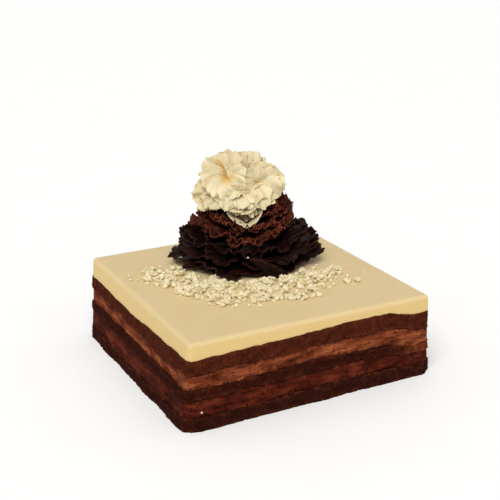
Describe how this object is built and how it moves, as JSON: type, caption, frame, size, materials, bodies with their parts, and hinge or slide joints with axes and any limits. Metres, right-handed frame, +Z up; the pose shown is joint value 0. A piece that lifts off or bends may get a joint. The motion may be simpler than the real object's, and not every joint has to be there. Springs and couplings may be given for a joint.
{
  "type": "chocolate mousse cake",
  "caption": "Square layered chocolate mousse cake with a white mousse top, a crescent of crumbs and a tiered flower of chocolate ruffles.",
  "frame": {"origin": "middle of the cake's footprint, on the surface that it stands on", "axes": "+Z up; the side that the viewer sees on the right faces -Y, and the one on the left faces -X"},
  "size_m": [0.1907, 0.1805, 0.1399],
  "materials": {
    "sponge": "open dark crumb, matt",
    "mousse": "cut mousse with fine bubbles, matt",
    "white_mousse": "smooth set mousse, satin",
    "dark_chocolate": "thin shaved chocolate, satin",
    "milk_chocolate": "thin shaved chocolate, satin",
    "white_chocolate": "thin shaved chocolate, satin"
  },
  "bodies": {
    "root": {"bottom_sponge": "sponge", "lower_mousse": "mousse", "middle_sponge": "sponge", "upper_mousse": "mousse", "top_sponge": "sponge", "white_top": "white_mousse", "dark_core": "dark_chocolate", "brown_core": "milk_chocolate", "white_core": "white_chocolate", "dark_ruffle_low_1": "dark_chocolate", "dark_ruffle_low_2": "dark_chocolate", "dark_ruffle_low_3": "dark_chocolate", "dark_ruffle_low_4": "dark_chocolate", "dark_ruffle_low_5": "dark_chocolate", "dark_ruffle_mid_1": "dark_chocolate", "dark_ruffle_mid_2": "dark_chocolate", "dark_ruffle_mid_3": "dark_chocolate", "dark_ruffle_mid_4": "dark_chocolate", "dark_ruffle_mid_5": "dark_chocolate", "dark_ruffle_high_1": "dark_chocolate", "dark_ruffle_high_2": "dark_chocolate", "dark_ruffle_high_3": "dark_chocolate", "dark_ruffle_high_4": "dark_chocolate", "brown_ruffle_low_1": "milk_chocolate", "brown_ruffle_low_2": "milk_chocolate", "brown_ruffle_low_3": "milk_chocolate", "brown_ruffle_low_4": "milk_chocolate", "brown_ruffle_low_5": "milk_chocolate", "brown_ruffle_mid_1": "milk_chocolate", "brown_ruffle_mid_2": "milk_chocolate", "brown_ruffle_mid_3": "milk_chocolate", "brown_ruffle_mid_4": "milk_chocolate", "brown_ruffle_high_1": "milk_chocolate", "brown_ruffle_high_2": "milk_chocolate", "brown_ruffle_high_3": "milk_chocolate", "white_ruffle_low_1": "white_chocolate", "white_ruffle_low_2": "white_chocolate", "white_ruffle_low_3": "white_chocolate", "white_ruffle_low_4": "white_chocolate", "white_ruffle_mid_1": "white_chocolate", "white_ruffle_mid_2": "white_chocolate", "white_ruffle_mid_3": "white_chocolate", "white_ruffle_high_1": "white_chocolate", "white_ruffle_high_2": "white_chocolate", "white_ruffle_high_3": "white_chocolate", "white_bud": "white_chocolate"}
  },
  "joints": []
}
